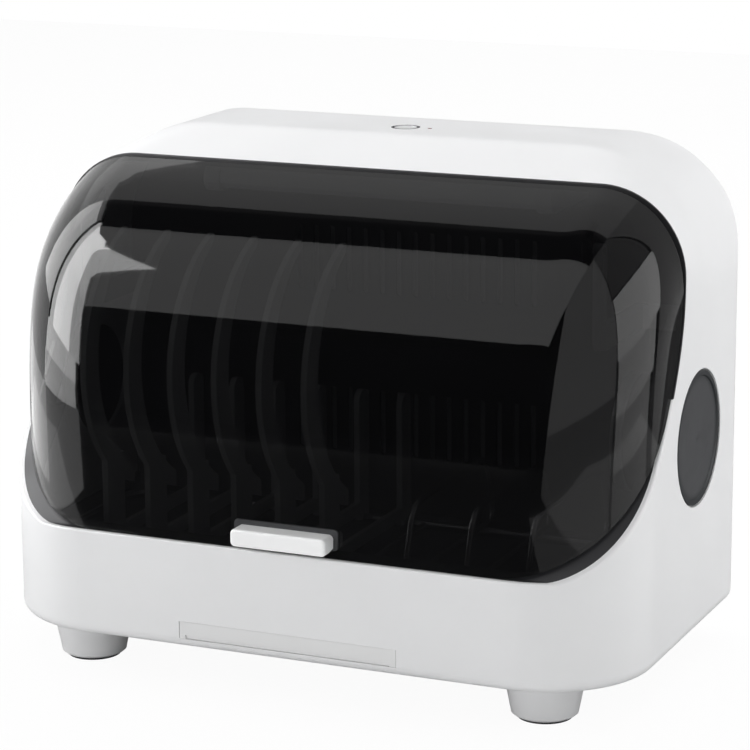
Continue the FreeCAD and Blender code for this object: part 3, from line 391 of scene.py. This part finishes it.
def sky_mix(path_socket, first, second):
    node = sky.nodes.new("ShaderNodeMixShader")
    sky.links.new(sky_path.outputs[path_socket], node.inputs["Fac"])
    sky.links.new(first.outputs[0], node.inputs[1])
    sky.links.new(second.outputs[0], node.inputs[2])
    return node


sky_out = sky.nodes.new("ShaderNodeOutputWorld")
sky_path = sky.nodes.new("ShaderNodeLightPath")
lit, mirrored = sky_shade((0.98, 0.99, 1.0), 0.42), sky_shade((1, 1, 1), 0.03)
soft = sky_mix("Is Glossy Ray", lit, mirrored)
seen = sky_mix("Is Camera Ray", soft, sky_shade((1, 1, 1), 1.0))
sky.links.new(seen.outputs[0], sky_out.inputs["Surface"])


def soft_box(name, place, facing, size_x, size_y, radiance, reflected):
    """A rectangular lamp of a given brightness that lights the scene or shows in reflections."""
    data = bpy.data.lights.new(name, "AREA")
    data.shape = "RECTANGLE"
    data.size = size_x
    data.size_y = size_y
    data.energy = math.pi * radiance * size_x * size_y
    lamp = bpy.data.objects.new(name, data)
    scene.collection.objects.link(lamp)
    lamp.location = Vector(place)
    lamp.rotation_mode = "QUATERNION"
    lamp.rotation_quaternion = Vector(facing).to_track_quat("-Z", "Y")
    lamp.visible_glossy = reflected
    lamp.visible_diffuse = not reflected
    lamp.visible_camera = False


LEFTWARD, RIGHTWARD, UPWARD, DOWNWARD = (-1, 0, 0), (1, 0, 0), (0, 0, 1), (0, 0, -1)

# Lamps that light the scene and stay out of reflections: place, aim, width, height, brightness
LAMPS = (
    ("overhead", (-0.5, 0.95, 1.8), (-0.5, 0.95, 0), 3.4, 1.8, 2.1),
    ("right_side", (1.45, 0.6, 0.7), (0, 0.1, 0.2), 1.6, 1.3, 1.8),
    ("left_side", (-1.6, -0.2, 0.7), (0, 0, 0.2), 1.0, 1.6, 2.3),
    ("front_fill", (-0.7, -2.5, 0.45), (0, 0, 0.2), 2.4, 0.8, 3.4),
)
# Panels that only show in reflections, above, right and left of the cabinet and on the floor.
# A panel in the plane of a lamp would be hidden by it, so they stand apart.
PANELS = (
    ("panel_above_rear", (-0.9, 1.02, 1.79), DOWNWARD, 3.0, 1.48, 0.68),
    ("panel_above_front", (-0.8, -1.46, 1.79), DOWNWARD, 2.8, 2.38, 1.15),
    ("panel_right_front", (0.6, -0.665, 1.0), LEFTWARD, 1.07, 1.56, 0.75),
    ("panel_right_front_low", (0.6, -0.665, 0.11), LEFTWARD, 1.07, 0.22, 0.4),
    ("panel_right_above", (0.6, 0.08, 1.20), LEFTWARD, 0.40, 1.18, 0.3),
    ("panel_right_streak", (0.6, 0.09, 0.45), LEFTWARD, 0.42, 0.30, 2.5),
    ("panel_right_middle", (0.6, 0.07, 0.235), LEFTWARD, 0.36, 0.13, 1.9),
    ("panel_right_low", (0.6, 0.05, 0.13), LEFTWARD, 0.32, 0.08, 1.2),
    ("panel_right_foot", (0.6, 0.05, 0.045), LEFTWARD, 0.32, 0.09, 0.6),
    ("panel_right_rear", (0.6, 1.025, 0.9), LEFTWARD, 1.45, 1.76, 0.5),
    ("panel_right_floor", (0.95, -0.2, 0.004), UPWARD, 1.2, 1.4, 0.4),
    ("panel_left_core", (-0.6, -0.295, 0.66), RIGHTWARD, 0.25, 0.78, 14.0),
    ("panel_left_near", (-0.6, -0.52, 0.66), RIGHTWARD, 0.20, 0.78, 6.0),
    ("panel_left_far", (-0.6, -0.145, 0.66), RIGHTWARD, 0.05, 0.78, 7.0),
    ("panel_left_fade", (-0.6, -0.32, 0.235), RIGHTWARD, 0.44, 0.07, 7.0),
    ("panel_left_middle", (-0.6, -0.31, 0.17), RIGHTWARD, 0.44, 0.06, 4.5),
    ("panel_left_low", (-0.6, -0.15, 0.07), RIGHTWARD, 0.86, 0.14, 1.2),
    ("panel_left_sliver", (-0.65, 0.02, 0.66), RIGHTWARD, 0.22, 0.70, 4.0),
    ("panel_left_rear", (-0.7, 0.35, 0.6), RIGHTWARD, 0.90, 1.2, 1.2),
    ("panel_left_floor", (-0.82, 0.0, 0.004), UPWARD, 0.75, 0.80, 0.8),
)
for name, place, aim, size_x, size_y, radiance in LAMPS:
    soft_box(name, place, Vector(aim) - Vector(place), size_x, size_y, radiance, False)
for name, place, facing, size_x, size_y, radiance in PANELS:
    soft_box(name, place, facing, size_x, size_y, radiance, True)

scene.view_settings.view_transform = "Standard"
